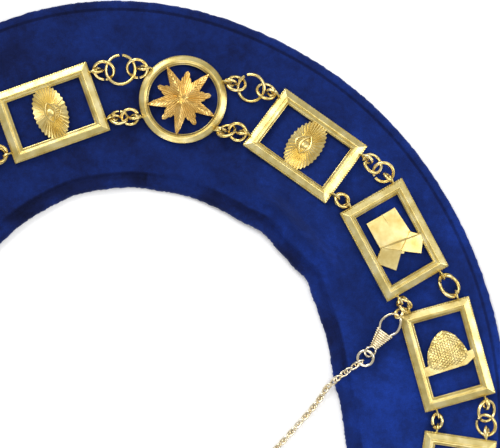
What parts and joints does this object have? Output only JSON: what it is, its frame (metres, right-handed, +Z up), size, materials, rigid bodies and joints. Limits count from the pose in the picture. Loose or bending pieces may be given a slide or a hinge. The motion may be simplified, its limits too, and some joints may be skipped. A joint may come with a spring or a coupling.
{
  "type": "chain of office",
  "caption": "Velvet regalia collar worn round the neck, with moulded emblem plates joined by jump rings and a thin clasped chain across the neck opening.",
  "frame": {"origin": "on the floor under the middle of the lying collar", "axes": "+Y towards the back of the neck, +Z up off the floor, +X to the side that the picture shows"},
  "size_m": [0.3834, 0.4782, 0.0231],
  "materials": {
    "velvet": "cotton velvet, royal blue",
    "gold": "gilt brass, bright",
    "pale_gold": "pale gilt brass, bright"
  },
  "bodies": {
    "root": {"clasp_left": "pale_gold", "clasp_right": "pale_gold", "cross_chain": "pale_gold", "jewel_ring": "gold", "left_1_eye_plate": "gold", "left_1_neck_rings": "gold", "left_1_outer_rings": "gold", "left_2_apron_plate": "gold", "left_2_neck_rings": "gold", "left_2_outer_rings": "gold", "left_3_beehive_plate": "gold", "left_3_neck_rings": "gold", "left_3_outer_rings": "gold", "left_4_eye_plate": "gold", "left_4_neck_rings": "gold", "left_4_outer_rings": "gold", "left_5_apron_plate": "gold", "left_5_neck_rings": "gold", "left_5_outer_rings": "gold", "left_6_beehive_plate": "gold", "left_6_neck_rings": "gold", "left_6_outer_rings": "gold", "left_7_eye_plate": "gold", "left_7_neck_rings": "gold", "left_7_outer_rings": "gold", "left_8_neck_rings": "gold", "left_8_outer_rings": "gold", "right_1_eye_plate": "gold", "right_1_neck_rings": "gold", "right_1_outer_rings": "gold", "right_2_apron_plate": "gold", "right_2_neck_rings": "gold", "right_2_outer_rings": "gold", "right_3_beehive_plate": "gold", "right_3_neck_rings": "gold", "right_3_outer_rings": "gold", "right_4_eye_plate": "gold", "right_4_neck_rings": "gold", "right_4_outer_rings": "gold", "right_5_apron_plate": "gold", "right_5_neck_rings": "gold", "right_5_outer_rings": "gold", "right_6_beehive_plate": "gold", "right_6_neck_rings": "gold", "right_6_outer_rings": "gold", "right_7_eye_plate": "gold", "right_7_neck_rings": "gold", "right_7_outer_rings": "gold", "right_8_neck_rings": "gold", "right_8_outer_rings": "gold", "star_medallion_back": "gold", "star_medallion_front": "gold", "velvet_collar": "velvet"}
  },
  "joints": []
}
